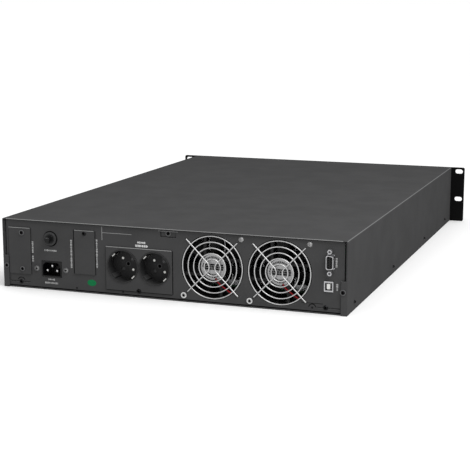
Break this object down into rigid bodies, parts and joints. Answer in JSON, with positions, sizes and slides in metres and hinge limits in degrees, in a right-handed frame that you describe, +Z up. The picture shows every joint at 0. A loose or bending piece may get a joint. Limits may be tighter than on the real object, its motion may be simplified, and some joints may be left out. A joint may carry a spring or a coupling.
{
  "type": "rackmount uninterruptible power supply",
  "caption": "Flat two-unit rack power supply with rear outlets, inlet, fans and data ports, rack ears, and a battery drawer that pulls out of the front.",
  "frame": {"origin": "middle of the footprint, on the surface that the base rests on", "axes": "+Z up, -Y towards the rack front (bezel and ears), +Y towards the rear panel, +X to the right seen from the front"},
  "size_m": [0.4826, 0.6934, 0.0865],
  "materials": {
    "casing_paint": "satin dark grey powder coat with a fine texture",
    "plate_black": "black powder coat",
    "zinc_steel": "zinc-plated sheet",
    "front_plastic": "fine spark-eroded texture",
    "key_plastic": "satin",
    "display_glass": "clear, tinted",
    "display_panel": "smooth",
    "circuit_board": "solder mask",
    "connector_grey": "moulded",
    "fan_plastic": "moulded, slightly glossy",
    "chrome_wire": "bright plated wire",
    "lead_red": "wire insulation",
    "gloss_black": "glossy moulding",
    "contact_metal": "nickel-plated contact",
    "port_metal": "nickel-plated shell",
    "dark_screw": "black zinc",
    "bright_screw": "bright zinc",
    "heatsink_aluminium": "extruded",
    "capacitor_sleeve": "shrink sleeve",
    "copper_wire": "enamelled copper",
    "ferrite": "sintered",
    "battery_case": "moulded case"
  },
  "bodies": {
    "chassis": {"base_tray": "casing_paint", "rear_panel": "casing_paint", "top_cover": "casing_paint", "front_plate": "plate_black", "bay_divider": "zinc_steel", "tray_runners": "zinc_steel", "bezel": "front_plastic", "lcd_window": "display_glass", "lcd_panel": "display_panel", "control_board": "circuit_board", "battery_socket": "connector_grey", "fan_frame_1": "fan_plastic", "fan_frame_2": "fan_plastic", "fan_guard_1": "chrome_wire", "fan_guard_2": "chrome_wire", "fan_leads": "lead_red", "outlet_plate": "casing_paint", "outlet_1": "gloss_black", "outlet_2": "gloss_black", "earth_contacts": "contact_metal", "iec_inlet": "gloss_black", "inlet_pins": "contact_metal", "breaker_body": "fan_plastic", "breaker_nut": "fan_plastic", "db9_port": "port_metal", "db9_insert": "gloss_black", "usb_port": "port_metal", "blank_plate": "casing_paint", "slot_cover": "casing_paint", "cover_screws": "dark_screw", "bright_screws": "bright_screw", "power_board": "circuit_board", "board_posts": "zinc_steel", "heatsink": "heatsink_aluminium", "power_transistors": "fan_plastic", "bus_capacitors": "capacitor_sleeve", "chokes": "copper_wire", "transformer_core": "ferrite", "transformer_winding": "copper_wire", "filter_board": "circuit_board", "filter_capacitors": "display_panel", "comms_board": "circuit_board"},
    "battery_module": {"battery_tray": "zinc_steel", "battery_1": "battery_case", "battery_2": "battery_case", "battery_3": "battery_case", "battery_4": "battery_case", "battery_5": "battery_case", "battery_6": "battery_case", "battery_links": "contact_metal", "battery_front": "front_plastic", "handle_bar": "front_plastic", "battery_plug": "connector_grey"},
    "power_button": {"power_button": "key_plastic"},
    "key_up": {"key_up": "key_plastic"},
    "key_down": {"key_down": "key_plastic"},
    "key_enter": {"key_enter": "key_plastic"},
    "fan_rotor_1": {"fan_rotor_1": "fan_plastic"},
    "fan_rotor_2": {"fan_rotor_2": "fan_plastic"},
    "breaker_button": {"breaker_button": "fan_plastic"}
  },
  "joints": [
    {"name": "battery_slide", "type": "slide", "parent": "chassis", "child": "battery_module", "axis": [0, -1, 0], "range_m": [0, 0.28]},
    {"name": "power_press", "type": "slide", "parent": "chassis", "child": "power_button", "axis": [0, 1, 0], "range_m": [0, 0.0008], "stiffness_N_per_m": 1500, "springref_m": -0.0004},
    {"name": "key_up_press", "type": "slide", "parent": "chassis", "child": "key_up", "axis": [0, 1, 0], "range_m": [0, 0.0008], "stiffness_N_per_m": 1500, "springref_m": -0.0004},
    {"name": "key_down_press", "type": "slide", "parent": "chassis", "child": "key_down", "axis": [0, 1, 0], "range_m": [0, 0.0008], "stiffness_N_per_m": 1500, "springref_m": -0.0004},
    {"name": "key_enter_press", "type": "slide", "parent": "chassis", "child": "key_enter", "axis": [0, 1, 0], "range_m": [0, 0.0008], "stiffness_N_per_m": 1500, "springref_m": -0.0004},
    {"name": "fan_1_spin", "type": "hinge", "parent": "chassis", "child": "fan_rotor_1", "pos_m": [-0.0569, 0.33555, 0.0438], "axis": [0, 1, 0], "continuous": true},
    {"name": "fan_2_spin", "type": "hinge", "parent": "chassis", "child": "fan_rotor_2", "pos_m": [-0.1393, 0.33555, 0.0438], "axis": [0, 1, 0], "continuous": true},
    {"name": "breaker_pop", "type": "slide", "parent": "chassis", "child": "breaker_button", "axis": [0, 1, 0], "range_m": [0, 0.0035]}
  ]
}
